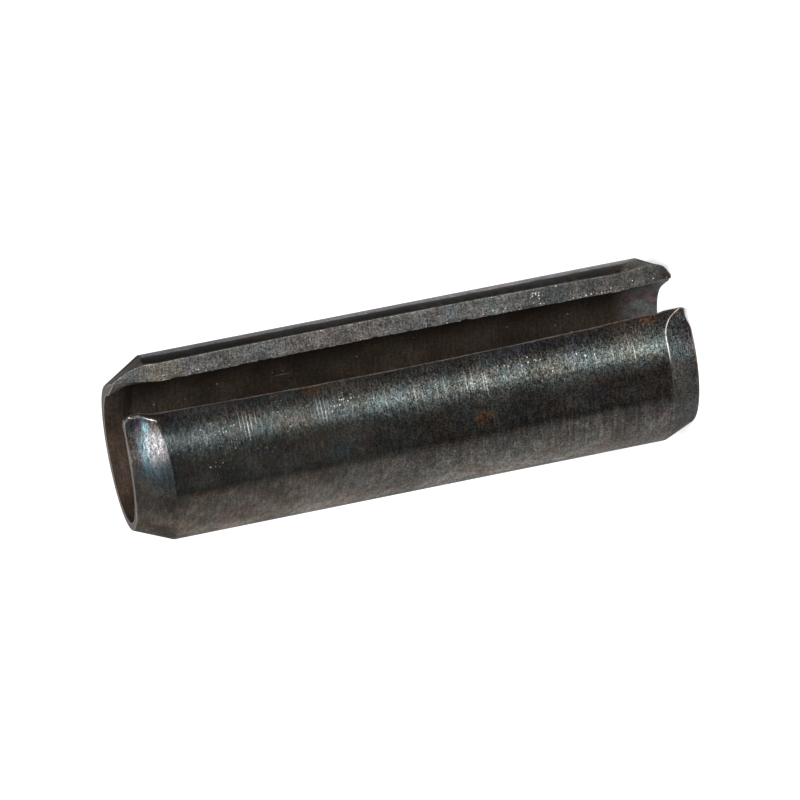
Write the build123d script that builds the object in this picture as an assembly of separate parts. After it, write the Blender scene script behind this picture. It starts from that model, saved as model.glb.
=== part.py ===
from build123d import *
import os
from dataclasses import dataclass
from math import radians, tan

# A slotted spring pin: a strip of spring steel rolled into an open tube, with both ends swaged to
# blunt cones so that it starts easily in its hole. It stands on its lower end. +Z runs up the pin's
# axis, and the origin is on the axis, in the plane of the lower end.

# Driving dimensions of the tube, in millimetres and degrees.
pin_length = 20.0
free_diameter = 6.45  # before the pin is driven into its 6 mm hole
wall = 0.75  # thickness of the strip
slot_angle = 41.8  # how far the slot is open, seen from the axis
slot_heading = -45.0  # where the slot faces, from +X towards +Y

tube_radius = free_diameter / 2
bore_radius = tube_radius - wall


@dataclass
class EndCone:
    """How one end leans in from full_radius, over length, to end_radius at the end face.

    The strip's two edges spring back after swaging, so beside them the cone opens out, along an
    arc over relief_angle, to edge_radius at the end face and by edge_lean a millimetre from there.
    Where that is beyond full_radius, the edge has sprung back to the tube's own radius. The first
    of each pair is for the edge that lies clockwise of the slot as seen from above the pin, and
    the second is for the other edge.
    """

    full_radius: float
    length: float
    end_radius: float
    edge_radii: tuple
    edge_leans: tuple
    relief_angles: tuple


# The outer cone of each end, and the mouth of the bore that was squeezed in with it.
lower_nose = EndCone(tube_radius, 1.07, 2.77, (3.08, 3.00), (0.70, 0.53), (13.0, 14.0))
lower_mouth = EndCone(bore_radius, 0.94, 2.08, (2.57, 2.57), (0.60, 0.60), (26.0, 26.0))
upper_nose = EndCone(tube_radius, 1.35, 2.53, (3.20, 3.20), (0.12, 0.20), (20.0, 26.0))
upper_mouth = EndCone(bore_radius, 0.90, 2.21, (2.70, 2.80), (0.40, 0.40), (25.0, 25.0))

# The upper end was swaged askew: its cones are tilted about a point on the axis, at a depth where
# the shoulder stays level and only the end face's ring moves off centre.
upper_tilt = 4.0
upper_tilt_axis = 36.0  # heading of the line it tilts about, from the slot, seen from outside
upper_tilt_depth = 3.0

# How far a cut runs past the face or the surface that it opens.
overrun = 0.5

slot_half_angle = slot_angle / 2
upright = (Align.CENTER, Align.CENTER, Align.MIN)


def cone_outline(cone, height, edges):
    """The cone's section at a height above the end face, with the end face down, slot facing +X.

    edges holds the index of each strip edge's values, in the order in which a turn from the slot
    towards +Y meets them.
    """
    lean = (cone.full_radius - cone.end_radius) / cone.length
    first_angle = slot_half_angle + cone.relief_angles[edges[0]]
    last_angle = 360 - slot_half_angle - cone.relief_angles[edges[1]]
    round_part = CenterArc(
        (0, 0), cone.end_radius + lean * height, first_angle, last_angle - first_angle
    )
    edge_radii = [cone.edge_radii[edge] + cone.edge_leans[edge] * height for edge in edges]
    first_edge = Vector(edge_radii[0], 0).rotate(Axis.Z, slot_half_angle)
    last_edge = Vector(edge_radii[1], 0).rotate(Axis.Z, -slot_half_angle)
    mid_slot = Vector(sum(edge_radii) / 2, 0)

    first_relief = TangentArc(round_part @ 0, first_edge, tangent=-(round_part % 0))
    last_relief = TangentArc(round_part @ 1, last_edge, tangent=round_part % 1)
    across_slot = ThreePointArc(last_edge, mid_slot, first_edge)
    outline = Wire([round_part, last_relief, across_slot, first_relief])
    return Pos(0, 0, height) * make_face(outline)


def cone_collar(cone, edges):
    """The ring outside one end's cone, with the end face at Z 0 and the slot facing +X."""
    top = cone.length + overrun
    core = loft([cone_outline(cone, -overrun, edges), cone_outline(cone, top, edges)], ruled=True)
    ring = Cylinder(cone.full_radius + overrun, top + overrun, align=upright)
    return Pos(0, 0, -overrun) * ring - core


def tilted(piece):
    """A piece of the upper end's collar, set askew as that end's die was."""
    turn = Rot(0, 0, upper_tilt_axis)
    turn_back = Rot(0, 0, -upper_tilt_axis)
    tilt = turn * Rot(upper_tilt, 0, 0) * turn_back
    return Pos(0, 0, upper_tilt_depth) * tilt * Pos(0, 0, -upper_tilt_depth) * piece


def coned_bar(lower_cone, upper_cone):
    """A round bar of the pin's length with a relieved cone at each end."""
    bar = Cylinder(lower_cone.full_radius, pin_length, align=upright)
    bar -= cone_collar(lower_cone, (1, 0))
    # Turned over about the X axis, an edge that was clockwise of the slot is on its other side.
    turn_over = Pos(0, 0, pin_length) * Rot(180, 0, 0)
    bar -= turn_over * tilted(cone_collar(upper_cone, (0, 1)))
    return bar


def slot():
    """The wedge between the strip's two edges, which are square to the tube's surface."""
    reach = tube_radius + overrun
    half_width = reach * tan(radians(slot_half_angle))
    corners = Polyline((0, 0), (reach, -half_width), (reach, half_width), close=True)
    wedge = extrude(make_face(corners), pin_length + 2 * overrun)
    return Pos(0, 0, -overrun) * wedge


def spring_pin():
    """The rolled strip: the outer form, less the bore's form and the slot."""
    outside = coned_bar(lower_nose, upper_nose)
    bore = coned_bar(lower_mouth, upper_mouth)
    return Rot(0, 0, slot_heading) * (outside - bore - slot())


os.makedirs("parts", exist_ok=True)
export_step(spring_pin(), "parts/spring_pin.step")
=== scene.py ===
import math
from dataclasses import dataclass

import bpy
import numpy as np
from mathutils import Matrix, Vector, noise

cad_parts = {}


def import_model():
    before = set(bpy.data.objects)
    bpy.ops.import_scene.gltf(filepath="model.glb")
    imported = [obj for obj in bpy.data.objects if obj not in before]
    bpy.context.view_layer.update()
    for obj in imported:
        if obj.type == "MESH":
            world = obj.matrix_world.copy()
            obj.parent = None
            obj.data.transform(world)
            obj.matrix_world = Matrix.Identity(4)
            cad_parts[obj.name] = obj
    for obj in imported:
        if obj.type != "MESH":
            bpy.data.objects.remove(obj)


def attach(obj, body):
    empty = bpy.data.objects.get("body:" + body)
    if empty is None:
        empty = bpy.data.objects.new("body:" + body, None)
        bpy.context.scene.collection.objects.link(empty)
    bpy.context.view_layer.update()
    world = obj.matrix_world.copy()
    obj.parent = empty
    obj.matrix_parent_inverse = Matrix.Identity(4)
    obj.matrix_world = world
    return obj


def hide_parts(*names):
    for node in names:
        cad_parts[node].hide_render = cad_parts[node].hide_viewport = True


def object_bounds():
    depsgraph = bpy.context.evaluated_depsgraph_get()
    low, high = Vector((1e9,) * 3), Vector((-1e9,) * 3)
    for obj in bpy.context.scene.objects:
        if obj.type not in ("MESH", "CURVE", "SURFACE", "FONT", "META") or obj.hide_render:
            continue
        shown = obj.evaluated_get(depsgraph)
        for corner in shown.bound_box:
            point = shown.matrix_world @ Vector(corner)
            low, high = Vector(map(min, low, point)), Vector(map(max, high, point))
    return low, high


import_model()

# The looks of a slotted spring pin that stands on its lower end. The mesh works in millimetres and
# degrees. A heading is an angle round the axis from +X, and a turn is one from the middle of the
# slot, both counterclockwise seen from above. The strip runs from the slot's far edge to its near
# edge, as the camera sees them.

MM = 0.001
NODE = "spring_pin"
cad_low, cad_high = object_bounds()

# ---------------- sizes of the pin

LENGTH = (cad_high.z - cad_low.z) / MM
TUBE_RADIUS = min(cad_high.x, cad_high.y, -cad_low.x, -cad_low.y) / MM
WALL = 0.75
BORE_RADIUS = TUBE_RADIUS - WALL
MEAN_RADIUS = TUBE_RADIUS - WALL / 2
SLOT_HEADING = -45.0
SLOT_HALF_ANGLE = 20.9
FAR_EDGE = SLOT_HALF_ANGLE
NEAR_EDGE = 360 - SLOT_HALF_ANGLE
STRIP_WIDTH = math.radians(NEAR_EDGE - FAR_EDGE) * MEAN_RADIUS


@dataclass
class EndCone:
    """One end's cone, straight from end_radius at the end face to full_radius at a depth.

    Beside the slot the strip sprang back, so there the radius at the end face and the depth both
    differ, easing over the relief angles. Each pair is for the slot's near and far edge.
    """

    full_radius: float
    end_radius: float
    edge_radii: tuple
    radius_reliefs: tuple
    depth: float
    edge_depths: tuple
    depth_reliefs: tuple
    tilted: bool = False
    crown: float = 0.0  # how much less deep it is at CROWN_TURN, over CROWN_REACH
    corner: float = 0.0  # how much less deep still CORNER_OVERRUN past the near edge, over CORNER_REACH


RELIEF_POWER = 2.5
CROWN_TURN = 48.0
CROWN_REACH = 22.0
CORNER_OVERRUN = 1.8
CORNER_REACH = 4.5

LOWER_NOSE = EndCone(
    full_radius=TUBE_RADIUS, end_radius=2.77, edge_radii=(3.08, 3.00), radius_reliefs=(13, 14),
    depth=1.07, edge_depths=(0.17, 0.42), depth_reliefs=(17, 14), crown=0.19,
)
LOWER_MOUTH = EndCone(
    full_radius=BORE_RADIUS, end_radius=2.08, edge_radii=(2.57, 2.57), radius_reliefs=(26, 40),
    depth=0.94, edge_depths=(0.30, 0.30), depth_reliefs=(26, 40),
)
UPPER_NOSE = EndCone(
    full_radius=TUBE_RADIUS, end_radius=2.53, edge_radii=(3.03, 3.13), radius_reliefs=(20, 26),
    depth=1.35, edge_depths=(0.98, 1.00), depth_reliefs=(52, 26), tilted=True, corner=0.80,
)
UPPER_MOUTH = EndCone(
    full_radius=BORE_RADIUS, end_radius=2.21, edge_radii=(2.70, 2.80), radius_reliefs=(25, 25),
    depth=0.90, edge_depths=(0.30, 0.30), depth_reliefs=(25, 25), tilted=True,
)

UPPER_TILT = 4.0
UPPER_TILT_AXIS = 36.0
UPPER_TILT_DEPTH = 3.0
TILT_ROUNDS = 4  # enough for the radius of a tilted cone to settle

EDGE_ROUND = 0.03  # radius that every edge is worn to
SHOULDER_ROUND = 0.012  # how far the shoulder between tube and cone is blended


# ---------------- form of the strip

def smooth_step(x):
    x = np.clip(x, 0, 1)
    return x * x * (3 - 2 * x)


def smooth_min(a, b, width):
    """The lower of a and b, with their meeting rounded over width."""
    h = np.clip(0.5 + 0.5 * (b - a) / width, 0, 1)
    return b * (1 - h) + a * h - width * h * (1 - h)


def near_end(distance, reach, level=0.0):
    """1 at an end or an edge and as far as level, easing to 0 over reach from there."""
    return smooth_step(1 - (distance - level) / reach)


def corner_cut(distance, reach):
    """1 at an end, falling in a straight line to 0 at reach."""
    return np.clip(1 - distance / reach, 0, 1)


def relieved(value, at_edges, reliefs, turn):
    """A value of the whole end, easing to its values at the slot's near and far edge."""
    result = np.full_like(turn, value)
    for at_edge, relief, from_edge in zip(at_edges, reliefs, (NEAR_EDGE - turn, turn - FAR_EDGE)):
        share = np.clip(1 - from_edge / relief, 0, 1)
        result += (at_edge - value) * share ** RELIEF_POWER
    return result


def cone_radius(cone, turn, height):
    """The cone's radius at a height above its end face."""
    start = relieved(cone.end_radius, cone.edge_radii, cone.radius_reliefs, turn)
    depth = relieved(cone.depth, cone.edge_depths, cone.depth_reliefs, turn)
    depth -= cone.crown * near_end(np.abs(turn - CROWN_TURN), CROWN_REACH)
    depth -= cone.corner * near_end(NEAR_EDGE - turn, CORNER_REACH, level=-CORNER_OVERRUN)
    return start + np.maximum(cone.full_radius - start, 0) * height / depth


def untilted(turn, radius, depth):
    """A point of the upper end in the tilted cone's own frame: its turn, radius and height."""
    angle = np.radians(-turn)
    x, y = radius * np.cos(angle), radius * np.sin(angle)
    axis = math.radians(UPPER_TILT_AXIS)
    tilt = -math.radians(UPPER_TILT)
    along = x * math.cos(axis) + y * math.sin(axis)
    across = -x * math.sin(axis) + y * math.cos(axis)
    below = depth - UPPER_TILT_DEPTH
    across, below = (
        across * math.cos(tilt) - below * math.sin(tilt),
        across * math.sin(tilt) + below * math.cos(tilt),
    )
    x = along * math.cos(axis) - across * math.sin(axis)
    y = along * math.sin(axis) + across * math.cos(axis)
    own_turn = np.degrees(np.arctan2(-y, x)) % 360
    return own_turn, np.hypot(x, y), below + UPPER_TILT_DEPTH


def end_radius(cone, turn, from_end):
    """The radius that an end's cone leaves at a distance from the end face."""
    if not cone.tilted:
        return cone_radius(cone, turn, from_end)
    radius = np.full_like(turn, cone.full_radius)
    for _ in range(TILT_ROUNDS):
        own_turn, own_radius, height = untilted(turn, radius, from_end)
        radius = radius * cone_radius(cone, own_turn, height) / own_radius
    return radius


def surface_radius(turn, z, full_radius, lower, upper):
    """The tube's radius with the lower and the upper end's cone."""
    lower_radius = end_radius(lower, turn, z)
    upper_radius = end_radius(upper, turn, LENGTH - z)
    radius = smooth_min(np.full_like(turn, full_radius), lower_radius, SHOULDER_ROUND)
    return smooth_min(radius, upper_radius, SHOULDER_ROUND)


@dataclass
class Loss:
    """What the wall lost at a corner beside the slot's far edge, fading over a height and a turn."""

    thickness: float
    height: float
    turn: float

    def at(self, turn, from_end, fade=corner_cut):
        return self.thickness * fade(from_end, self.height) * near_end(turn - FAR_EDGE, self.turn)


LOWER_OUTER_LOSS = Loss(thickness=0.23, height=0.22, turn=12)
UPPER_OUTER_LOSS = Loss(thickness=0.14, height=0.60, turn=10)
LOWER_INNER_LOSS = Loss(thickness=0.13, height=0.40, turn=10)
UPPER_INNER_LOSS = Loss(thickness=0.17, height=1.90, turn=18)


def outer_radius(turn, z):
    radius = surface_radius(turn, z, TUBE_RADIUS, LOWER_NOSE, UPPER_NOSE)
    return radius - LOWER_OUTER_LOSS.at(turn, z) - UPPER_OUTER_LOSS.at(turn, LENGTH - z)


def inner_radius(turn, z):
    radius = surface_radius(turn, z, BORE_RADIUS, LOWER_MOUTH, UPPER_MOUTH)
    return radius + LOWER_INNER_LOSS.at(turn, z) + UPPER_INNER_LOSS.at(turn, LENGTH - z, near_end)


@dataclass
class Bend:
    """How many degrees an edge of the slot is bent by, at a distance from an end of the pin.

    It is bent in full as far as level from middle, easing to nothing over reach from there.
    """

    degrees: float
    reach: float
    middle: float = 0.0
    level: float = 0.0

    def at(self, from_end):
        return self.degrees * near_end(np.abs(from_end - self.middle), self.reach, self.level)


UPPER_NEAR_BEND = Bend(1.0, reach=1.2)
UPPER_NEAR_ARCH = Bend(1.4, reach=0.42, middle=0.50)
LOWER_NEAR_BEND = Bend(1.0, reach=0.4, level=0.8)
UPPER_FAR_BEND = Bend(3.1, reach=0.9, level=0.9)
LOWER_FAR_BEND = Bend(2.8, reach=1.2, level=0.7)
LOWER_FAR_HOOK = 2.5
HOOK_HEIGHT = 0.3
NEAR_BEND_TURN = 30.0
FAR_BEND_TURN = 20.0

# Both edges bow into the slot toward the ends, in degrees by the height from the waist.
WAIST_HEIGHT = 10.8
BOW = 0.035
BOW_AT_WAIST = -0.8
MOST_BOW = 1.9


def slot_edge_drift(turn, z):
    """Degrees by which the slot's edges stray from straight lines, counterclockwise.

    Swaging drew both edges into the slot toward the ends, except at the far edge's two corners,
    which stand away from it.
    """
    bow = np.minimum(BOW * (z - WAIST_HEIGHT) ** 2 + BOW_AT_WAIST, MOST_BOW)
    near = UPPER_NEAR_BEND.at(LENGTH - z) + UPPER_NEAR_ARCH.at(LENGTH - z) + LOWER_NEAR_BEND.at(z)
    far = UPPER_FAR_BEND.at(LENGTH - z) + LOWER_FAR_BEND.at(z)
    far -= LOWER_FAR_HOOK * corner_cut(z, HOOK_HEIGHT)
    drift = (near + bow) * near_end(NEAR_EDGE - turn, NEAR_BEND_TURN)
    return drift + (far - bow) * near_end(turn - FAR_EDGE, FAR_BEND_TURN)


LIFTED_TIP = 0.13
SET_BACK_TIP = 0.115


def end_setback(turn, z):
    """How much higher than z a point lies, where the strip stops short at two of its corners."""
    lifted = LIFTED_TIP * near_end(NEAR_EDGE - turn, 10, level=3) * corner_cut(z, 1.2)
    set_back = SET_BACK_TIP * near_end(turn - FAR_EDGE, 15) * corner_cut(LENGTH - z, 0.8)
    return lifted - set_back


# ---------------- mesh

def lattice_line(total, zone, zone_count, middle_count):
    """Positions from 0 to total, closer together in a zone at each end and closest at the ends."""
    worn = EDGE_ROUND * np.array([0, 0.3, 0.65])
    fine = np.linspace(EDGE_ROUND, zone, zone_count, endpoint=False)
    end = np.concatenate([worn, fine])
    return np.concatenate([end, np.linspace(zone, total - zone, middle_count), total - end[::-1]])


OFF_THE_GRID = 0.37  # keeps the ripples off the noise's own grid, where it is 0


def ripple(positions, seed, size):
    """Smooth noise between -1 and 1 along a line, with waves about size long."""
    return np.array([noise.noise(Vector((p / size, seed, OFF_THE_GRID))) for p in positions])


def grid_quads(ids, flip):
    """Quads between the ids of a two-way grid."""
    a, b, c, d = ids[:-1, :-1], ids[1:, :-1], ids[1:, 1:], ids[:-1, 1:]
    corners = (a, d, c, b) if flip else (a, b, c, d)
    return np.stack([corner.ravel() for corner in corners], axis=1)


def rounded_box(point, high):
    """Moves points on a box from the origin to high in to the same box with worn edges."""
    core = np.clip(point, EDGE_ROUND, high - EDGE_ROUND)
    away = point - core
    longest = np.abs(away).max(axis=1)
    reach = np.linalg.norm(away, axis=1)
    scale = np.where(reach > 0, longest / np.maximum(reach, 1e-12), 1)
    return core + away * scale[:, None]


# How much of each long edge of the strip is lost: the side of the slot, the face, the even loss,
# the waves in it, the size of the chips, and how rough it is.
EDGE_LOSSES = (
    ("far", "inner", 0.022, 0.018, 0.12, 0.016),
    ("far", "outer", 0.010, 0.010, 0.03, 0.010),
    ("near", "outer", 0.008, 0.010, 0.03, 0.006),
    ("near", "inner", 0.010, 0.015, 0.05, 0.010),
)
LOSS_REACH = 0.16
WAVE_SIZES = (0.90, 0.28)
WAVE_SHARES = (0.6, 0.4)
CHIP_SIZE = 0.26
CHIP_GROUP_SIZE = 1.6
NOTCH_SIZE = 0.11


def edge_loss(heights, seed, even, wave, chip, rough):
    """What an edge has lost at each height."""
    waves = sum(share * ripple(heights, seed + 20 * i, size)
                for i, (share, size) in enumerate(zip(WAVE_SHARES, WAVE_SIZES)))
    chips = np.clip(ripple(heights, seed + 40, CHIP_SIZE) - 0.10, 0, 1)
    chips *= np.clip(ripple(heights, seed + 60, CHIP_GROUP_SIZE) + 0.25, 0, 1)
    notches = ripple(heights, seed + 80, NOTCH_SIZE)
    return np.clip(even + wave * waves + chip * chips + rough * notches, 0, None)


def worn_away(flat, thickness, heights, k):
    """Wears and chips the four long edges of the unrolled strip."""
    arc, depth = flat[:, 0].copy(), flat[:, 1].copy()
    for seed, (side, face, *amounts) in enumerate(EDGE_LOSSES):
        loss = edge_loss(heights, seed, *amounts)[k]
        from_side = flat[:, 0] if side == "far" else STRIP_WIDTH - flat[:, 0]
        from_face = flat[:, 1] if face == "inner" else thickness - flat[:, 1]
        push = loss * np.clip(1 - (from_side + from_face) / LOSS_REACH, 0, 1) ** 2
        arc += push if side == "far" else -push
        depth += push if face == "inner" else -push
    return np.stack([arc, depth, flat[:, 2]], axis=1)


OUTER, BORE, SHEARED, END = range(4)

# A step through the wall is a number of worn edges plus a share of what is left between them.
WALL_WORN = np.array([0, 0.3, 0.65, 1, 1, 1, 1, 1, 1.35, 1.7, 2]) * EDGE_ROUND
WALL_SHARE = np.array([0, 0, 0, 0, 0.25, 0.5, 0.75, 1, 1, 1, 1])


def strip_surface():
    """The strip's skin as a box lattice: ids, each point's place in it, its arcs and its heights."""
    arcs = lattice_line(STRIP_WIDTH, zone=1.25, zone_count=17, middle_count=46)
    heights = lattice_line(LENGTH, zone=1.7, zone_count=38, middle_count=310)
    count = (len(arcs), len(WALL_SHARE), len(heights))
    index = np.indices(count)
    last = (np.array(count) - 1)[:, None, None, None]
    on_surface = ((index == 0) | (index == last)).any(axis=0)
    ids = np.full(count, -1)
    ids[on_surface] = np.arange(on_surface.sum())
    return ids, np.nonzero(on_surface), arcs, heights


def strip_mesh():
    ids, (i, j, k), arcs, heights = strip_surface()
    turn = FAR_EDGE + np.degrees(arcs[i] / MEAN_RADIUS)
    thickness = outer_radius(turn, heights[k]) - inner_radius(turn, heights[k])
    depth = WALL_WORN[j] + WALL_SHARE[j] * (thickness - 2 * EDGE_ROUND)
    flat = np.stack([arcs[i], depth, heights[k]], axis=1)
    high = np.stack([np.full_like(turn, STRIP_WIDTH), thickness, np.full_like(turn, LENGTH)], axis=1)
    flat = rounded_box(flat, high)
    from_faces = np.sort(np.minimum(flat, high - flat), axis=1)
    flat = worn_away(flat, thickness, heights, k)

    turn = FAR_EDGE + np.degrees(flat[:, 0] / MEAN_RADIUS)
    z = flat[:, 2]
    inner, outer = inner_radius(turn, z), outer_radius(turn, z)
    radius = inner + flat[:, 1] / thickness * (outer - inner)
    heading = np.radians(turn + slot_edge_drift(turn, z) + SLOT_HEADING)
    height = z + end_setback(turn, z)
    points = np.stack([radius * np.cos(heading), radius * np.sin(heading), height], axis=1)

    sides = (
        (ids[:, -1, :], False, OUTER),
        (ids[:, 0, :], True, BORE),
        (ids[0, :, :], False, SHEARED),
        (ids[-1, :, :], True, SHEARED),
        (ids[:, :, 0], False, END),
        (ids[:, :, -1], True, END),
    )
    quads = np.concatenate([grid_quads(grid, flip) for grid, flip, _ in sides])
    regions = np.concatenate([np.full((grid.shape[0] - 1) * (grid.shape[1] - 1), region)
                              for grid, _, region in sides])

    mesh = bpy.data.meshes.new("rolled_strip")
    mesh.from_pydata((points * MM).tolist(), [], quads.tolist())
    mesh.polygons.foreach_set("material_index", regions.astype(np.int32))
    mesh.polygons.foreach_set("use_smooth", np.ones(len(quads), bool))

    # The unrolled map is in millimetres: round and along the pin on its two skins, out and along on
    # the sheared edges, and round and out on the end faces.
    by_region = ((flat[:, 0], z), (flat[:, 0], z), (radius, z), (flat[:, 0], radius))
    maps = np.stack([np.stack(pair, axis=1) for pair in by_region])
    layer = mesh.uv_layers.new(name="unrolled")
    unrolled = maps[np.repeat(regions, 4), quads.ravel()]
    layer.data.foreach_set("uv", unrolled.astype(np.float32).ravel())

    # Smooth fields that the wear is drawn from, in millimetres: how far the nearest edge is, and how
    # far each cone's surface lies inside the tube's.
    fields = {
        "from_edge": from_faces[:, 1],
        "lower_cone": TUBE_RADIUS - end_radius(LOWER_NOSE, turn, z),
        "upper_cone": TUBE_RADIUS - end_radius(UPPER_NOSE, turn, LENGTH - z),
    }
    for name, values in fields.items():
        mesh.attributes.new(name, "FLOAT", "POINT").data.foreach_set("value", values.astype(np.float32))
    mesh.update()
    return mesh


# ---------------- materials

class Look:
    """A node material, with its maps written as nested calls."""

    def __init__(self, name, metallic):
        self.material = bpy.data.materials.new(name)
        self.material.use_nodes = True
        self.tree = self.material.node_tree
        self.shader = self.tree.nodes["Principled BSDF"]
        self.shader.inputs["Metallic"].default_value = metallic
        self.solid = self.scaled(self.node("TexCoord").outputs["Object"], (1 / MM,) * 3)
        self.unrolled = self.node("UVMap", uv_map="unrolled").outputs[0]
        split = self.node("SeparateXYZ", inputs={0: self.unrolled})
        self.round, self.along = split.outputs[0], split.outputs[1]

    def node(self, kind, inputs=None, **settings):
        made = self.tree.nodes.new("ShaderNode" + kind)
        for key, value in settings.items():
            setattr(made, key, value)
        for key, value in (inputs or {}).items():
            self.feed(made.inputs[key], value)
        return made

    def feed(self, socket, value):
        if isinstance(value, bpy.types.NodeSocket):
            self.tree.links.new(value, socket)
        elif isinstance(value, tuple) and socket.type == "RGBA":
            socket.default_value = (*value, 1)
        else:
            socket.default_value = value

    def field(self, name):
        return self.node("Attribute", attribute_name=name).outputs["Fac"]

    def math(self, operation, a, b=0.0):
        return self.node("Math", {0: a, 1: b}, operation=operation).outputs[0]

    def vector_math(self, operation, a, b):
        return self.node("VectorMath", {0: a, 1: b}, operation=operation).outputs[0]

    def scaled(self, vector, factors):
        return self.vector_math("MULTIPLY", vector, factors)

    def sum(self, a, b):
        return self.math("ADD", a, b)

    def product(self, a, b):
        return self.math("MULTIPLY", a, b)

    def larger(self, a, b):
        return self.math("MAXIMUM", a, b)

    def ramp(self, value, low, high, to_low=0.0, to_high=1.0):
        """to_low where value is at low, easing to to_high where it is at high."""
        made = self.node("MapRange", {0: value, 1: low, 2: high, 3: to_low, 4: to_high},
                         interpolation_type="SMOOTHSTEP")
        return made.outputs[0]

    def band(self, value, middle, half_width, soft):
        """1 within half_width of middle, falling to 0 over soft."""
        away = self.math("ABSOLUTE", self.sum(value, -middle))
        return self.ramp(away, half_width, half_width + soft, 1.0, 0.0)

    def noise(self, vector, scale, detail=3.0, roughness=0.6):
        return self.node("TexNoise", {"Vector": vector, "Scale": scale, "Detail": detail,
                                      "Roughness": roughness}).outputs["Fac"]

    def streaked(self, round_scale, along_scale, detail, roughness):
        """Noise on the unrolled strip, with its own scale each way."""
        vector = self.scaled(self.unrolled, (round_scale, along_scale, 0.0))
        return self.noise(vector, 1.0, detail, roughness)

    def centered(self, value, amount):
        """A map round 0.5 as one round 0, amount times as strong."""
        return self.product(self.sum(value, -0.5), amount)

    def shaken(self, vector, amount, scale):
        """The vector moved about by noise, so that what is drawn on it turns ragged."""
        shake = self.node("TexNoise", {"Vector": vector, "Scale": scale, "Detail": 2.0})
        offset = self.vector_math("SUBTRACT", shake.outputs["Color"], (0.5,) * 3)
        return self.vector_math("ADD", vector, self.scaled(offset, (2 * amount, 2 * amount, 0.0)))

    def swing(self, value, amount, spread=0.2):
        """A factor round 1 that follows a noise round 0.5."""
        signed = self.ramp(value, 0.5 - spread, 0.5 + spread, -1.0, 1.0)
        return self.sum(self.product(signed, amount), 1.0)

    def toned(self, swings):
        """The product of swings: each a map, its amount and, if it isn't the usual one, its spread."""
        tone = 1.0
        for swing in swings:
            tone = self.product(tone, self.swing(*swing))
        return tone

    def between(self, value, stops):
        """The color that value has between its stops, pairs of a value and a color."""
        low, high = stops[0][0], stops[-1][0]
        made = self.node("ValToRGB")
        elements = made.color_ramp.elements
        elements.remove(elements[1])
        elements[0].position, elements[0].color = 0.0, (*stops[0][1], 1)
        for at, color in stops[1:]:
            elements.new((at - low) / (high - low)).color = (*color, 1)
        share = self.node("MapRange", {0: value, 1: low, 2: high})
        self.feed(made.inputs[0], share.outputs[0])
        return made.outputs[0]

    def mix(self, share, a, b):
        made = self.node("Mix", data_type="RGBA")
        for socket, value in ((0, share), (6, a), (7, b)):
            self.feed(made.inputs[socket], value)
        return made.outputs[2]

    def dimmed(self, color, factor):
        return self.node("VectorMath", {0: color, "Scale": factor}, operation="SCALE").outputs[0]

    def tinted(self, color, share, low_tint, high_tint):
        return self.scaled(color, self.mix(share, low_tint, high_tint))

    def flecks(self, per_mm, radius, share):
        """Small ragged spots of many sizes, at a share of a grid's cells, per_mm to a millimetre."""
        vector = self.shaken(self.unrolled, 0.03, 14.0)
        cells = self.node("TexVoronoi", {"Vector": vector, "Scale": per_mm}, voronoi_dimensions="2D")
        chance = self.node("SeparateColor", {0: cells.outputs["Color"]})
        size = self.ramp(chance.outputs[1], 0.0, 1.0, 0.35, 1.4)
        reach = self.math("DIVIDE", cells.outputs["Distance"], size)
        spot = self.ramp(reach, radius * per_mm * 0.4, radius * per_mm, 1.0, 0.0)
        return self.product(spot, self.ramp(chance.outputs[0], share, share + 0.02, 1.0, 0.0))

    def spots(self, spots, ragged):
        """The places in spots, with edges broken up by ragged, a map round 0.5.

        Each is where it lies on the unrolled strip, its half sizes both ways and its strength.
        """
        mask = 0.0
        for place_round, place_along, half_round, half_along, strength in spots:
            away = self.vector_math("SUBTRACT", self.unrolled, (place_round, place_along, 0.0))
            away = self.scaled(away, (1 / half_round, 1 / half_along, 0.0))
            reach = self.node("VectorMath", {0: away}, operation="LENGTH").outputs["Value"]
            reach = self.sum(reach, self.centered(ragged, 1.6))
            mask = self.larger(mask, self.ramp(reach, 0.3, 1.3, strength, 0.0))
        return mask

    def nicks(self, places):
        """Nicks of a few sizes and shapes, each at its place."""
        sized = []
        for i, place in enumerate(places):
            share, next_share = (NICK_SHARES[n % len(NICK_SHARES)] for n in (i, i + 1))
            sized.append((*place, NICK_SIZE * share, NICK_SIZE * next_share, share))
        return self.spots(sized, self.noise(self.unrolled, 9.0))

    def finish(self, color, roughness, height, depth):
        """Wires the maps up. The height, from 0 to 1, stands for depth in millimetres."""
        bump = self.node("Bump", {"Height": height, "Distance": depth * MM, "Strength": 1.0})
        self.feed(self.shader.inputs["Base Color"], color)
        self.feed(self.shader.inputs["Roughness"], roughness)
        self.feed(self.shader.inputs["Normal"], bump.outputs[0])
        return self.material


def arc_at(heading):
    """Where a heading lies on the unrolled strip."""
    return math.radians((heading - SLOT_HEADING) % 360 - FAR_EDGE) * MEAN_RADIUS


def on_skin(rows):
    """Rows that start with a heading as rows that start with its place on the unrolled strip."""
    return [(arc_at(heading), *rest) for heading, *rest in rows]


# ---------------- the outside

# The blackening's own color, where it is worn thin, and what lies under and on it. Some of these colors also
# paint light: reflections on the crown and the flank, the highlight band, and the highlight along the rubbed
# edges.
BLACKENING = (0.0280, 0.0252, 0.0225)
# A greener tint that is partly a painted highlight along the lamp's band.
GREEN_PAINTED_HIGHLIGHT = (0.0310, 0.0335, 0.0312)
THIN = (0.050, 0.047, 0.044)
# A browner painted reflection on the lower flank.
BROWN_PAINTED_REFLECTION = (0.092, 0.083, 0.077)
# A painted reflection on the flank.
PAINTED_FLANK_REFLECTION = (0.275, 0.249, 0.232)
# A painted reflection along the crown.
PAINTED_CROWN_REFLECTION = (0.310, 0.294, 0.312)
SLATE = (0.055, 0.056, 0.054)
CONE_SCALE = (0.070, 0.065, 0.061)
SCRAPED = (0.085, 0.075, 0.068)
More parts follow.
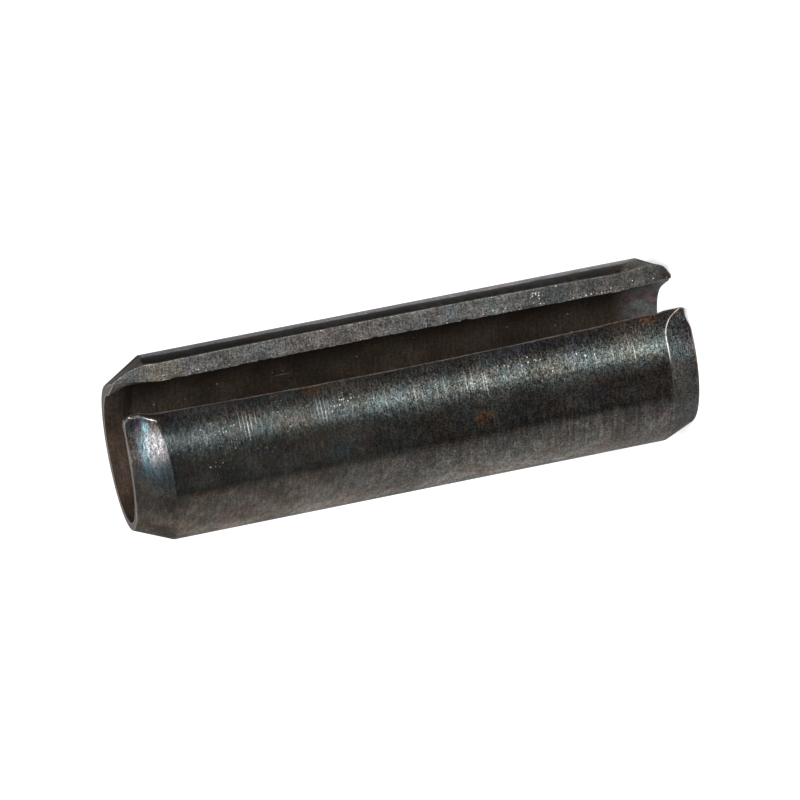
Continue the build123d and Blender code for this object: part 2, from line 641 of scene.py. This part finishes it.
# Partly rubbed steel, partly a painted highlight along the edges.
WORN_EDGE_AND_HIGHLIGHT = (0.165, 0.130, 0.112)
BARE = (0.42, 0.41, 0.39)
RUST = (0.105, 0.056, 0.033)

BROWN_TINT = (1.09, 0.98, 0.90)
TEAL_TINT = (0.86, 1.02, 1.06)
PURPLE_TINT = (1.05, 0.95, 1.08)
PATCH_SIDE_TINT = (0.48, 0.60, 0.66)
PLAIN_TINT = (1.0, 1.0, 1.0)

# The outside's color by heading, round the pin from the slot's far edge to its near edge. The light line
# round the crown, from -10.8 and fading past 10, and the lighter flank from -172 to -123 are painted
# reflections. The greener band from -92 to -79 is partly a painted highlight.
ROUND_THE_PIN = (
    (-24.1, BLACKENING),
    (-13.0, BLACKENING),
    (-10.8, PAINTED_CROWN_REFLECTION),
    (0, (0.190, 0.180, 0.194)),
    (10, (0.170, 0.161, 0.174)),
    (60, THIN),
    (140, THIN),
    (-172, PAINTED_FLANK_REFLECTION),
    (-159, PAINTED_FLANK_REFLECTION),
    (-150, (0.150, 0.135, 0.125)),
    (-140, BROWN_PAINTED_REFLECTION),
    (-123, BROWN_PAINTED_REFLECTION),
    (-117.5, BLACKENING),
    (-99, BLACKENING),
    (-92, GREEN_PAINTED_HIGHLIGHT),
    (-79, GREEN_PAINTED_HIGHLIGHT),
    (-73, BLACKENING),
    (-65.9, BLACKENING),
)

# How four lengthwise zones are lightened or darkened by height, as factors. On the highlight side, the dark
# side and the flank they paint the highlight and the reflections brighter or fainter along the pin; on the
# slot side they lighten, darken and brown its color.
HIGHLIGHT_SIDE = -82
HIGHLIGHT_BY_HEIGHT = (
    (1.0, (1.15, 1.12, 1.12)),
    (1.6, (1.45, 1.40, 1.36)),
    (2.4, (1.48, 1.44, 1.38)),
    (3.0, (1.00, 1.00, 1.00)),
    (12.0, (1.00, 0.99, 1.00)),
    (16.5, (0.84, 0.80, 0.80)),
    (18.7, (0.82, 0.76, 0.80)),
    (19.0, (1.00, 1.00, 1.00)),
)
SLOT_SIDE = -70
SLOT_SIDE_BY_HEIGHT = (
    (1.0, (0.84, 0.86, 0.90)),
    (10.5, (0.90, 0.95, 0.98)),
    (12.0, (1.18, 1.20, 1.18)),
    (13.5, (1.28, 1.22, 1.16)),
    (14.2, (1.00, 1.06, 1.08)),
    (18.7, (0.98, 1.02, 1.06)),
)
DARK_SIDE = -109
DARK_BY_HEIGHT = (
    (0.8, (1.00, 0.97, 0.96)),
    (1.6, (0.80, 0.80, 0.82)),
    (10.0, (0.90, 0.92, 0.90)),
    (11.2, (1.12, 1.22, 1.25)),
    (18.7, (1.14, 1.28, 1.32)),
)
FLANK = -165
FLANK_BY_HEIGHT = (
    (0.9, (0.80, 0.82, 0.84)),
    (2.6, (0.85, 0.87, 0.89)),
    (3.6, (1.00, 1.02, 1.02)),
    (9.0, (1.05, 1.09, 1.09)),
    (13.0, (1.10, 1.10, 1.09)),
    (16.0, (1.06, 1.02, 0.98)),
    (18.7, (0.98, 0.92, 0.84)),
)

# The upper cone's bright patch by height: a painted highlight, whitest by the shoulder, which the heat of
# swaging tinted teal, purple and brown further up.
UP_THE_CONE = (
    (18.80, (0.285, 0.275, 0.280)),
    (19.28, (0.300, 0.298, 0.306)),
    (19.44, (0.155, 0.212, 0.228)),
    (19.57, (0.120, 0.165, 0.185)),
    (19.66, (0.078, 0.070, 0.082)),
    (19.76, (0.056, 0.050, 0.047)),
)

# Rust on the outside: heading, height, half width, half height, strength.
RUST_SPOTS = (
    (-107.2, 7.86, 0.30, 0.27, 0.90),
    (-106.0, 7.60, 0.20, 0.16, 0.60),
    (-68.5, 1.55, 0.16, 0.34, 0.80),
    (-69.0, 2.60, 0.10, 0.40, 0.25),
    (-67.5, 3.60, 0.08, 0.60, 0.30),
    (-67.5, 14.76, 0.10, 0.30, 0.35),
    (-69.5, 13.47, 0.18, 0.35, 0.40),
    (-68.0, 0.35, 0.20, 0.18, 0.45),
)

# Temper colors on the outside: heading, height, half width, half height, strength, color.
TEMPER_SPOTS = (
    (-74.0, 19.34, 0.26, 0.13, 1.0, (0.120, 0.180, 0.200)),
    (-71.5, 19.56, 0.20, 0.15, 0.8, (0.080, 0.064, 0.088)),
    (-70.5, 6.30, 0.16, 1.30, 0.6, (0.024, 0.027, 0.033)),
    (-75.0, 7.30, 0.14, 0.60, 0.5, (0.018, 0.030, 0.035)),
    (-69.5, 17.60, 0.12, 0.80, 0.5, (0.040, 0.042, 0.048)),
)

# Scratches round the pin on its brighter side: heading, height, half length, strength.
SCRATCHES = (
    (-80, 16.18, 0.35, 0.7), (-82, 16.04, 0.50, 0.8), (-84, 15.92, 0.50, 1.0), (-82, 15.80, 0.35, 0.6),
    (-80, 15.62, 0.30, 0.5), (-80, 13.46, 0.40, 0.7), (-82, 13.33, 0.50, 0.9), (-83, 13.21, 0.50, 0.8),
    (-80, 13.08, 0.30, 0.5), (-78, 12.53, 0.25, 0.6), (-86, 11.08, 0.45, 0.5), (-86, 10.06, 0.50, 0.7),
    (-85, 9.28, 0.40, 0.5), (-85, 9.00, 0.35, 0.6), (-82, 8.24, 0.45, 0.8), (-83, 8.02, 0.50, 0.9),
    (-86, 8.10, 0.25, 0.5), (-85, 7.64, 0.35, 0.6), (-87, 7.55, 0.50, 1.0), (-79, 6.24, 0.30, 0.5),
    (-79, 4.38, 0.30, 0.7), (-85, 3.64, 0.35, 0.7), (-85, 3.02, 0.35, 0.6), (-82, 2.40, 0.45, 0.6),
    (-87, 2.26, 0.45, 0.7), (-104, 13.50, 0.22, 0.3), (-102, 14.40, 0.15, 0.3),
)
SCRATCH_HALF_WIDTH = 0.021

# Single nicks that shine, as heading and height.
SKIN_NICKS = (
    (-77.3, 7.05), (-78.6, 6.30), (-80.1, 6.21), (-75.8, 5.98), (-78.5, 5.70), (-76.5, 5.25),
    (-86.9, 5.20), (-79.9, 4.27), (-82.1, 3.65), (-74.3, 12.50), (-78.6, 12.58), (-80.0, 12.38),
    (-81.8, 12.87), (-91.0, 16.57), (-95.2, 16.47), (-103.9, 17.42), (-102.6, 16.98),
    (-81.0, 17.53), (-94.0, 0.37),
)
NICK_SIZE = 0.026
NICK_SHARES = (1.0, 0.6, 0.8, 1.1)

# Where the skin is scraped into small bright chips: heading, height, half width, half height, strength.
SCRAPED_SPOTS = (
    (-78.0, 6.20, 0.14, 1.50, 1.0),
    (-81.0, 4.10, 0.18, 0.50, 1.0),
    (-79.0, 12.60, 0.24, 0.50, 1.0),
    (-82.0, 17.00, 0.20, 0.80, 0.7),
    (-100.0, 15.40, 0.30, 0.60, 0.3),
    (-103.0, 17.10, 0.16, 0.50, 0.5),
)


class OuterSkin(Look):
    """Blackened spring steel, drawn, rolled and scuffed round the pin."""

    def __init__(self):
        super().__init__("outer_skin", metallic=1.0)
        self.mottle = self.noise(self.solid, 0.9, 5.0, 0.65)
        self.patch = self.noise(self.solid, 0.45, 3.0, 0.55)
        self.grain = self.noise(self.solid, 16.0, 3.0, 0.8)
        self.pits = self.noise(self.solid, 4.0, 4.0, 0.7)
        self.streaks = self.streaked(2.0, 10.0, 4.0, 0.7)
        self.fine_streaks = self.streaked(5.5, 22.0, 2.0, 0.6)
        self.scores = self.score_lines()
        self.rust = self.spots(on_skin(RUST_SPOTS), self.mottle)
        self.ragged_round = self.sum(self.round, self.centered(self.mottle, 0.35))

        self.highlight_side = self.band(self.round, arc_at(HIGHLIGHT_SIDE), 0.40, 0.45)
        self.flank = self.band(self.round, arc_at(FLANK), 2.15, 0.50)
        self.inside_lower = self.field("lower_cone")
        self.inside_upper = self.field("upper_cone")
        self.on_lower_cone = self.ramp(self.inside_lower, 0.0, 0.02)
        self.on_upper_cone = self.ramp(self.inside_upper, 0.0, 0.04)

    def by_heading(self, start, end, at_start=0.0, at_end=1.0):
        """at_start up to one heading, easing to at_end from another."""
        return self.ramp(self.round, arc_at(start), arc_at(end), at_start, at_end)

    def score_lines(self):
        """Fine lines round the pin, in patches."""
        vector = self.scaled(self.unrolled, (0.9, 6.0, 0.0))
        cells = self.node("TexVoronoi", {"Vector": vector, "Scale": 1.0},
                          voronoi_dimensions="2D", feature="DISTANCE_TO_EDGE")
        lines = self.ramp(cells.outputs["Distance"], 0.012, 0.05, 1.0, 0.0)
        return self.product(lines, self.ramp(self.noise(self.unrolled, 1.7), 0.50, 0.62))

    def blackening_and_painted_light(self):
        """The blackening by heading, with its painted reflections and highlight, and its color on the two
        cones, painted lighter and darker by heading.
        """
        color = self.between(self.ragged_round, on_skin(ROUND_THE_PIN))
        # On the lower cone the slate is painted darker from heading -80 to the slot, against the lamp's
        # highlight there, and lighter from -99 away from it.
        slate = self.dimmed(SLATE, self.by_heading(-99, -80, 1.65, 0.24))
        color = self.mix(self.product(self.on_lower_cone, 0.85), color, slate)
        # On the upper cone the scale is painted lighter away from the lamp's side, from heading -102 round
        # past the dark side, more from -152 round past the flank, and more still by the slot's far edge.
        scale = self.dimmed(CONE_SCALE, self.by_heading(-118, -102, 1.35, 1.0))
        scale = self.dimmed(scale, self.by_heading(-172, -152, 1.8, 1.0))
        scale = self.dimmed(scale, self.ramp(self.round, 0.4, 1.2, 1.7, 1.0))
        color = self.mix(self.product(self.on_upper_cone, 0.8), color, scale)
        # By the lower far corner the skin is scraped as bare as the sheared edge.
        corner = self.ramp(self.sum(self.along, self.product(self.ragged_round, 0.75)), 1.70, 1.95, 1.0, 0.0)
        corner = self.product(corner, self.ramp(self.round, 1.3, 1.9, 1.0, 0.0))
        return self.mix(corner, color, SCRAPED)

    def heat_tinted(self, color):
        """Teal, brown and purple, weaker on the flank."""
        weaker = self.ramp(self.flank, 0.0, 1.0, 1.0, 0.5)
        teal = self.noise(self.scaled(self.solid, (1.0, 1.0, 0.7)), 1.1, 5.0, 0.65)
        teal = self.product(self.ramp(teal, 0.36, 0.64), weaker)
        color = self.tinted(color, self.sum(teal, self.product(self.flank, 0.20)), BROWN_TINT, TEAL_TINT)
        purple = self.noise(self.scaled(self.solid, (0.8, 0.8, 0.6)), 1.7, 4.0, 0.6)
        purple = self.product(self.ramp(purple, 0.50, 0.66), weaker)
        return self.tinted(color, purple, PLAIN_TINT, PURPLE_TINT)

    def highlight_patch_and_heat(self, color):
        """The upper cone's bright patch beside the slot, a painted highlight tinted by heat, which turns
        teal away from it.
        """
        patch = self.product(self.by_heading(-112, -90), self.by_heading(-82, -73, 1.0, 0.0))
        highlight_and_heat = self.between(self.sum(self.along, self.centered(self.mottle, 0.30)), UP_THE_CONE)
        highlight_and_heat = self.tinted(highlight_and_heat, self.by_heading(-102, -90, 1.0, 0.0), PLAIN_TINT, PATCH_SIDE_TINT)
        return self.mix(self.product(patch, self.on_upper_cone), color, highlight_and_heat)

    def spotted(self, color):
        """Temper colors and rust."""
        for *place, shade in TEMPER_SPOTS:
            color = self.mix(self.spots(on_skin([place]), self.mottle), color, shade)
        rust = self.product(self.rust, self.ramp(self.grain, 0.3, 0.6, 0.5, 1.0))
        return self.mix(rust, color, RUST)

    def zoned(self, color):
        """Lengthwise zones, each lightened and darkened by height, which paints the highlight and the
        reflections brighter or fainter along the pin.
        """
        zones = (
            (self.highlight_side, HIGHLIGHT_BY_HEIGHT),
            (self.band(self.round, arc_at(SLOT_SIDE), 0.15, 0.15), SLOT_SIDE_BY_HEIGHT),
            (self.band(self.round, arc_at(DARK_SIDE), 0.35, 0.30), DARK_BY_HEIGHT),
            (self.flank, FLANK_BY_HEIGHT),
        )
        for zone, stops in zones:
            # A color ramp's colors end at 1, so the factors go through it at half size.
            halved = [(at, tuple(channel / 2 for channel in factor)) for at, factor in stops]
            by_height = self.dimmed(self.between(self.along, halved), 2.0)
            color = self.tinted(color, zone, PLAIN_TINT, by_height)
        return color

    def tone(self):
        """How the streaks and the grain lighten and darken the blackening."""
        slanted = self.node("VectorRotate", {"Vector": self.unrolled, "Angle": 0.6},
                            rotation_type="Z_AXIS").outputs[0]
        slanted = self.noise(self.scaled(slanted, (1.3, 4.5, 0.0)), 1.0, 4.0, 0.65)
        slant_share = self.product(self.flank, self.ramp(self.along, 7.0, 10.0, 0.10, 0.20))
        hatch = self.streaked(0.8, 8.0, 2.0, 0.5)
        hatched = self.product(self.band(self.round, arc_at(-126), 0.55, 0.60),
                               self.ramp(self.along, 7.0, 10.0, 1.0, 0.15))
        hatched = self.product(hatched, self.ramp(self.inside_lower, 0.0, 0.02, 1.0, 0.0))
        coarse = self.ramp(self.along, 9.0, 14.0, 1.15, 0.62)
        grainy = self.sum(self.product(self.flank, -0.12), 0.58)
        grainy = self.product(self.sum(self.product(self.highlight_side, 0.20), grainy), coarse)
        return self.toned((
            (self.streaks, self.sum(self.product(self.highlight_side, 0.14), 0.20)),
            (self.fine_streaks, self.sum(self.product(self.highlight_side, 0.30), 0.16)),
            (self.grain, grainy, 0.18),
            (self.pits, self.product(coarse, 0.22)),
            (self.mottle, 0.16),
            (self.patch, 0.16, 0.15),
            (slanted, slant_share),
            (hatch, self.product(hatched, 0.24), 0.16),
        ))

    def scratched(self):
        scratches = [(*place, half, SCRATCH_HALF_WIDTH, share) for *place, half, share in on_skin(SCRATCHES)]
        return self.product(self.spots(scratches, self.noise(self.unrolled, 2.0)),
                            self.ramp(self.grain, 0.35, 0.6, 0.25, 1.0))

    def flecked(self):
        """Flecks in clusters, most of them on the highlight side."""
        clusters = self.ramp(self.noise(self.unrolled, 0.8, 2.0), 0.45, 0.62, 0.1, 1.0)
        side = self.larger(self.product(self.highlight_side, 0.6), 0.12)
        return self.product(self.product(self.flecks(6.0, 0.024, 0.35), clusters), side)

    def rubbed_and_highlit_shoulders(self):
        """The shoulders are rubbed through the blackening, most of all beside the slot, where the bright
        line along the lower shoulder also paints the lamp's highlight.
        """
        lower = self.product(self.band(self.inside_lower, 0.004, 0.005, 0.008),
                             self.ramp(self.pits, 0.36, 0.52, 0.45, 1.0))
        lower = self.product(self.product(lower, self.by_heading(-97, -91, 0.07, 1.0)),
                             self.by_heading(-150, -130))
        upper = self.product(self.band(self.inside_upper, 0.004, 0.006, 0.010), self.by_heading(-73, -70))
        return self.larger(lower, upper)

    def bare_and_highlit(self):
        """Where the steel shows through, and where the shoulders' bright line paints a highlight."""
        scuffs = self.product(self.ramp(self.streaked(6.0, 10.0, 3.0, 0.7), 0.56, 0.72), self.highlight_side)
        chips = self.product(self.flecks(7.0, 0.032, 0.60), self.spots(on_skin(SCRAPED_SPOTS), self.mottle))
        bare = self.rubbed_and_highlit_shoulders()
        for marks, share in (
            (self.scratched(), 0.36),
            (self.flecked(), 0.50),
            (scuffs, 0.08),
            (chips, 0.45),
            (self.scores, 0.04),
            (self.nicks(on_skin(SKIN_NICKS)), 0.80),
        ):
            bare = self.larger(bare, self.product(marks, share))
        return bare

    def rubbed_and_highlit_edges(self):
        """The rubbed edges, weaker by the far one. Their pale line along the near edge also paints that
        edge's highlight.
        """
        from_edge = self.sum(self.field("from_edge"), self.centered(self.patch, 0.12))
        rubbed = self.product(self.ramp(from_edge, 0.02, 0.07, 1.0, 0.0),
                              self.ramp(self.pits, 0.35, 0.6, 0.45, 1.0))
        return self.product(rubbed, self.ramp(self.round, 0.5, 1.5, 0.35, 1.0))

    def color(self):
        color = self.spotted(self.highlight_patch_and_heat(self.heat_tinted(self.blackening_and_painted_light())))
        color = self.dimmed(self.zoned(color), self.tone())
        color = self.mix(self.bare_and_highlit(), color, BARE)
        return self.mix(self.rubbed_and_highlit_edges(), color, WORN_EDGE_AND_HIGHLIGHT)

    def roughness(self):
        roughness = self.sum(self.ramp(self.along, 1.0, 18.0, 0.36, 0.46), self.product(self.mottle, 0.08))
        duller = self.larger(self.flank, self.larger(self.on_upper_cone, self.on_lower_cone))
        roughness = self.sum(roughness, self.product(duller, 0.20))
        return self.sum(roughness, self.product(self.rust, 0.20))

    def height(self):
        height = self.sum(self.product(self.fine_streaks, 0.5), self.product(self.grain, 0.45))
        return self.sum(height, self.product(self.scores, -0.25))

    def brush(self):
        """The fine marks round the pin draw its highlight out lengthwise."""
        self.shader.inputs["Specular Tint"].default_value = (0.5, 0.5, 0.5, 1)
        self.shader.inputs["Anisotropic"].default_value = 0.9
        self.shader.inputs["Anisotropic Rotation"].default_value = 0.25
        tangent = self.node("Tangent", direction_type="RADIAL", axis="Z")
        self.feed(self.shader.inputs["Tangent"], tangent.outputs[0])


def outer_skin():
    look = OuterSkin()
    look.brush()
    return look.finish(look.color(), look.roughness(), look.height(), depth=0.004)


# ---------------- the bore, the cut edges and the ends

BORE_BROWN = (0.023, 0.0155, 0.0105)
BORE_DARK = (0.0165, 0.0125, 0.0095)
LOWER_MOUTH_BROWN = (0.056, 0.037, 0.028)
LOWER_MOUTH_BLUE = (0.082, 0.093, 0.093)
LOWER_MOUTH_LILAC = (0.135, 0.106, 0.120)
# A painted sheen on one side of the upper mouth.
UPPER_MOUTH_PAINTED_SHEEN = (0.092, 0.080, 0.074)
UPPER_MOUTH_BROWN = (0.057, 0.036, 0.026)
BORE_SCRATCHED = (0.10, 0.085, 0.075)
SHEARED_BROWN = (0.093, 0.084, 0.077)
SHEARED_GREEN = (0.082, 0.085, 0.083)
SHINING = (0.85, 0.84, 0.82)
END_BROWN = (0.175, 0.150, 0.137)
END_GREY = (0.143, 0.137, 0.133)

# The bore's one scratch: heading, height, half width, half height, strength.
BORE_SCRATCHES = ((53.5, 13.55, 0.02, 0.35, 1.0),)

# Single nicks that shine on the far sheared edge, as radius and height. The lowest are painted highlights
# along the lower lip.
EDGE_NICKS_AND_GLINTS = (
    (2.60, 6.77), (2.69, 18.36), (2.58, 3.54), (2.57, 3.07), (2.57, 2.42), (2.63, 11.27),
    (2.60, 15.80), (2.52, 5.48), (3.18, 12.50), (2.85, 4.81), (3.17, 4.14), (2.53, 8.07),
    (2.98, 4.87), (3.19, 6.42), (2.59, 2.70), (2.61, 2.90), (2.57, 3.30), (2.62, 3.42), (2.58, 4.60),
    (2.60, 4.72), (2.70, 2.20), (2.66, 0.16), (2.69, 0.62), (2.80, 1.40), (2.52, 6.30),
    (2.51, 6.05), (2.56, 17.20), (2.66, 16.90),
)

# Where the far sheared edge is chipped bright: radius, height, half width, half height, strength.
CHIPPED_SPOTS = (
    (2.60, 3.00, 0.10, 0.80, 1.0),
    (2.60, 6.30, 0.10, 0.50, 0.8),
    (2.95, 4.85, 0.22, 0.22, 0.8),
)

# Temper colors along the sheared edges, and a greyer, darker stretch by the lower end: height, half length,
# tint.
EDGE_TINTS = (
    (19.3, 0.90, (0.78, 0.81, 0.85)),
    (18.1, 0.70, (0.98, 0.90, 0.76)),
    (17.1, 0.35, (1.04, 0.95, 1.02)),
    (14.8, 0.25, (0.90, 0.98, 1.08)),
    (12.0, 1.40, (1.07, 0.97, 0.94)),
    (7.9, 0.30, (0.91, 0.99, 1.06)),
    (6.4, 0.25, (0.84, 1.03, 1.00)),
    (5.2, 0.40, (0.92, 0.98, 1.05)),
    (4.1, 0.35, (0.92, 0.99, 1.06)),
    (1.3, 1.20, (0.60, 0.59, 0.56)),
    (0.1, 0.34, (0.42, 0.38, 0.37)),
)


def bore_skin():
    """The inside, brown with scale, and tinted by heat in its two mouths, with a painted sheen on one side
    of the upper mouth.
    """
    look = Look("bore_skin", metallic=0.3)
    mottle = look.noise(look.solid, 1.1, 5.0, 0.65)
    grain = look.noise(look.solid, 12.0, 3.0, 0.75)
    patch = look.noise(look.solid, 0.5, 3.0, 0.6)
    tint = look.noise(look.solid, 1.6, 3.0, 0.6)
    streaks = look.streaked(1.0, 12.0, 3.0, 0.7)

    color = look.mix(look.ramp(mottle, 0.3, 0.7), BORE_BROWN, BORE_DARK)
    tone = look.toned(((grain, 0.50), (streaks, 0.28), (patch, 0.35, 0.15)))
    # The bore is lighter beside the slot's far edge, and again from a quarter of the way round.
    tone = look.product(tone, look.ramp(look.round, 0.0, 1.2, 1.40, 1.0))
    tone = look.product(tone, look.ramp(look.round, arc_at(45), arc_at(70), 1.0, 1.20))
    color = look.dimmed(color, tone)

    lower = look.mix(look.ramp(tint, 0.34, 0.62), LOWER_MOUTH_BROWN, LOWER_MOUTH_BLUE)
    lower = look.mix(look.ramp(mottle, 0.44, 0.68), lower, LOWER_MOUTH_LILAC)
    lower = look.dimmed(lower, look.swing(grain, 0.35))
    color = look.mix(look.ramp(look.along, 0.4, 1.7, 1.0, 0.0), color, lower)
    # In the upper mouth the paler side, toward the slot's far edge, is a painted sheen; the rest is brown.
    across = look.ramp(look.round, arc_at(15), arc_at(60))
    upper = look.mix(across, UPPER_MOUTH_PAINTED_SHEEN, UPPER_MOUTH_BROWN)
    upper = look.dimmed(upper, look.toned(((streaks, 0.35), (grain, 0.35))))
    browned = look.product(look.ramp(look.along, 19.0, 19.7), look.ramp(tint, 0.32, 0.62, 0.30, 0.90))
    color = look.mix(browned, color, upper)

    color = look.mix(look.product(look.flecks(2.2, 0.030, 0.15), 0.35), color, BARE)
    color = look.mix(look.spots(on_skin(BORE_SCRATCHES), mottle), color, BORE_SCRATCHED)
    height = look.sum(look.product(streaks, 0.5), look.product(grain, 0.5))
    look.shader.inputs["Specular IOR Level"].default_value = 0.3
    return look.finish(color, look.ramp(mottle, 0.2, 0.8, 0.50, 0.65), height, depth=0.006)


def sheared_edge():
    """The cut edges of the strip, grey and granular, drawn across by the shear."""
    look = Look("sheared_edge", metallic=0.5)
    radius = look.round
    mottle = look.noise(look.solid, 1.0, 4.0, 0.6)
    grain = look.noise(look.solid, 15.0, 3.0, 0.8)
    pits = look.noise(look.solid, 5.0, 4.0, 0.7)
    patch = look.streaked(0.8, 0.8, 4.0, 0.6)
    drawn = look.streaked(1.8, 18.0, 4.0, 0.7)
    tint = look.streaked(1.0, 1.6, 4.0, 0.65)

    color = look.mix(look.ramp(tint, 0.36, 0.64), SHEARED_BROWN, SHEARED_GREEN)
    broken = look.ramp(mottle, 0.35, 0.55, 0.4, 1.0)
    for place, half, shade in EDGE_TINTS:
        share = look.product(look.band(look.along, place, half * 0.5, half), broken)
        color = look.tinted(color, share, PLAIN_TINT, shade)
    tone = look.toned(((grain, 0.80, 0.18), (drawn, 0.38), (pits, 0.35), (patch, 0.32, 0.15)))
    # Painted light toward the bore, where the edge lies in shade, and painted shade toward the outside.
    tone = look.product(tone, look.ramp(radius, BORE_RADIUS, TUBE_RADIUS, 1.30, 0.80))
    color = look.dimmed(color, tone)

    # Bright flecks, most of them beside the bore, with single nicks, painted glints on the lower lip, and
    # chipped places.
    by_bore = look.ramp(radius, BORE_RADIUS + 0.10, BORE_RADIUS + 0.35, 1.0, 0.25)
    clusters = look.ramp(look.noise(look.unrolled, 0.9, 2.0), 0.42, 0.62)
    flecked = look.product(look.product(look.flecks(6.0, 0.028, 0.40), clusters), by_bore)
    chips = look.product(look.flecks(9.0, 0.030, 0.55), look.spots(CHIPPED_SPOTS, mottle))
    shining = look.larger(look.larger(look.product(flecked, 0.7), look.nicks(EDGE_NICKS_AND_GLINTS)), chips)
    color = look.mix(shining, color, SHINING)

    rubbed = look.product(look.ramp(look.field("from_edge"), 0.012, 0.06, 1.0, 0.0),
                          look.ramp(pits, 0.4, 0.62, 0.05, 0.50))
    rubbed = look.product(rubbed, look.ramp(radius, BORE_RADIUS + 0.15, BORE_RADIUS + 0.45, 1.0, 0.3))
    color = look.mix(rubbed, color, BARE)
    height = look.sum(look.product(drawn, 0.4), look.product(grain, 0.6))
    return look.finish(color, look.ramp(mottle, 0.2, 0.8, 0.45, 0.60), height, depth=0.014)


def end_face():
    """The two end faces, ground flat, browned and rubbed along their rims."""
    look = Look("end_face", metallic=0.5)
    mottle = look.noise(look.solid, 1.0, 4.0, 0.6)
    grain = look.noise(look.solid, 15.0, 3.0, 0.8)
    color = look.mix(look.ramp(mottle, 0.35, 0.65), END_BROWN, END_GREY)
    color = look.dimmed(color, look.swing(grain, 0.50))
    rubbed = look.ramp(look.field("from_edge"), 0.012, 0.05, 0.50, 0.0)
    color = look.mix(rubbed, color, BARE)
    look.shader.inputs["Specular IOR Level"].default_value = 0.3
    return look.finish(color, look.ramp(mottle, 0.2, 0.8, 0.50, 0.65), grain, depth=0.010)


# ---------------- stage, lights and camera

FLOOR_RADIUS = 1.2  # metres
FLOOR_SIDES = 96
FLOOR_GREY = (0.8, 0.8, 0.8, 1)
FLOOR_GLOW = 0.55
WORLD_STRENGTH = 0.25

# The camera's aim and its distance from there, in millimetres, and its turn in degrees.
CAMERA_AIM = (-0.0446, -0.0064, 9.986)
CAMERA_DISTANCE = 197.9
CAMERA_HEADING = -85.302
CAMERA_ELEVATION = 10.962
CAMERA_ROLL = -101.257
FOCAL_LENGTH = 257.67
SENSOR_WIDTH = 36
NEAREST_SEEN = 0.01  # metres


def backdrop_material():
    """A white floor that reads as white to the camera and in reflections, and takes a soft shadow."""
    material = bpy.data.materials.new("pale_floor")
    material.use_nodes = True
    tree = material.node_tree
    tree.nodes.clear()
    link = tree.links.new
    output, add, diffuse, glow, path = (
        tree.nodes.new("ShaderNode" + kind)
        for kind in ("OutputMaterial", "AddShader", "BsdfDiffuse", "Emission", "LightPath")
    )
    diffuse.inputs["Color"].default_value = FLOOR_GREY
    glows_for = path.outputs["Is Camera Ray"]
    for ray in ("Is Glossy Ray", "Is Transmission Ray"):
        either = tree.nodes.new("ShaderNodeMath")
        either.operation = "MAXIMUM"
        link(glows_for, either.inputs[0])
        link(path.outputs[ray], either.inputs[1])
        glows_for = either.outputs[0]
    strength = tree.nodes.new("ShaderNodeMath")
    strength.operation = "MULTIPLY"
    strength.inputs[1].default_value = FLOOR_GLOW
    link(glows_for, strength.inputs[0])
    link(strength.outputs[0], glow.inputs["Strength"])
    link(diffuse.outputs[0], add.inputs[0])
    link(glow.outputs[0], add.inputs[1])
    link(add.outputs[0], output.inputs["Surface"])
    return material


def floor():
    angles = [2 * math.pi * step / FLOOR_SIDES for step in range(FLOOR_SIDES)]
    ring = [(FLOOR_RADIUS * math.cos(a), FLOOR_RADIUS * math.sin(a), 0) for a in angles]
    mesh = bpy.data.meshes.new("floor")
    mesh.from_pydata(ring, [], [list(range(FLOOR_SIDES))])
    mesh.materials.append(backdrop_material())
    piece = bpy.data.objects.new("floor", mesh)
    bpy.context.collection.objects.link(piece)


def direction(heading, elevation):
    h, e = math.radians(heading), math.radians(elevation)
    return Vector((math.cos(h) * math.cos(e), math.sin(h) * math.cos(e), math.sin(e)))


def softbox(name, heading, elevation, distance, width, height, power):
    """A rectangle of light, in metres, that faces the pin's middle and isn't itself seen."""
    lamp = bpy.data.lights.new(name, "AREA")
    lamp.shape = "RECTANGLE"
    lamp.size, lamp.size_y = width, height
    lamp.energy = power
    box = bpy.data.objects.new(name, lamp)
    bpy.context.collection.objects.link(box)
    away = direction(heading, elevation)
    box.location = Vector((0, 0, LENGTH / 2 * MM)) + away * distance
    box.rotation_euler = away.to_track_quat("Z", "Y").to_euler()
    box.visible_camera = False


def world():
    surroundings = bpy.data.worlds.new("studio")
    bpy.context.scene.world = surroundings
    surroundings.use_nodes = True
    background = surroundings.node_tree.nodes["Background"]
    background.inputs["Color"].default_value = (1, 1, 1, 1)
    background.inputs["Strength"].default_value = WORLD_STRENGTH


def camera():
    back = direction(CAMERA_HEADING, CAMERA_ELEVATION)
    roll = Matrix.Rotation(math.radians(CAMERA_ROLL), 3, "Z")
    turned = back.to_track_quat("Z", "Y").to_matrix() @ roll
    lens = bpy.data.cameras.new("camera")
    lens.lens = FOCAL_LENGTH
    lens.sensor_width = SENSOR_WIDTH
    lens.clip_start = NEAREST_SEEN
    eye = bpy.data.objects.new("camera", lens)
    bpy.context.collection.objects.link(eye)
    place = Vector(CAMERA_AIM) * MM + back * CAMERA_DISTANCE * MM
    eye.matrix_world = Matrix.Translation(place) @ turned.to_4x4()
    bpy.context.scene.camera = eye


# ---------------- the scene

camera()
floor()
world()
softbox("strip_box", heading=-83.5, elevation=28, distance=0.5, width=0.12, height=0.40, power=4.4)
softbox("low_box", heading=162, elevation=22, distance=0.5, width=0.30, height=0.30, power=1.0)

pin = bpy.data.objects.new("rolled_strip", strip_mesh())
bpy.context.collection.objects.link(pin)
for material in (outer_skin(), bore_skin(), sheared_edge(), end_face()):
    pin.data.materials.append(material)
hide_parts(NODE)
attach(pin, "root")

bpy.context.scene.view_settings.view_transform = "Standard"
